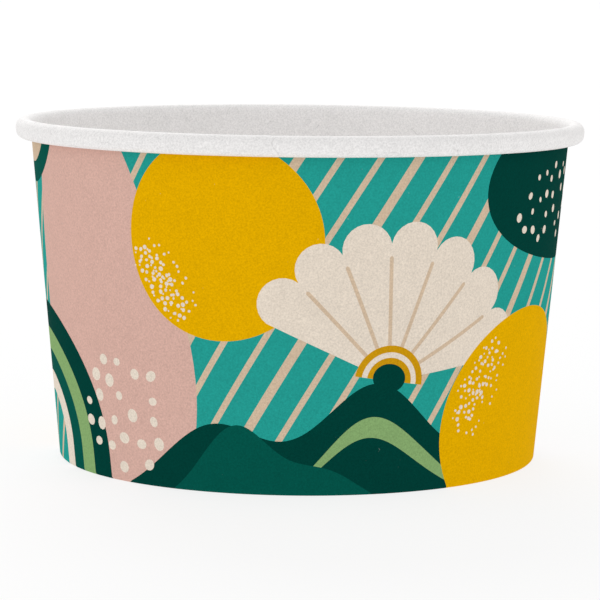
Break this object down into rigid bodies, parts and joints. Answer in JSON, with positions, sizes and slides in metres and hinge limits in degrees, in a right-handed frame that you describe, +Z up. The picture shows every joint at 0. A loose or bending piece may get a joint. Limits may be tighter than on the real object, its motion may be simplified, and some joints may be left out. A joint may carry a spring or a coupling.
{
  "type": "paper ice cream tub",
  "caption": "Low tapered paperboard tub with a rolled rim, a lapped side seam, a folded foot and a recessed base disc, for ice cream or dessert.",
  "frame": {"origin": "centre of the foot, on the surface that the tub stands on", "axes": "+Z up through the mouth; the front of the print looks along -Y, and the lapped side seam is at the back, on +Y"},
  "size_m": [0.096, 0.096, 0.0572],
  "materials": {
    "sidewall_board": "matte printed outside on white board",
    "base_board": "matte coated white board"
  },
  "bodies": {
    "root": {"sidewall": "sidewall_board", "base_disc": "base_board"}
  },
  "joints": []
}
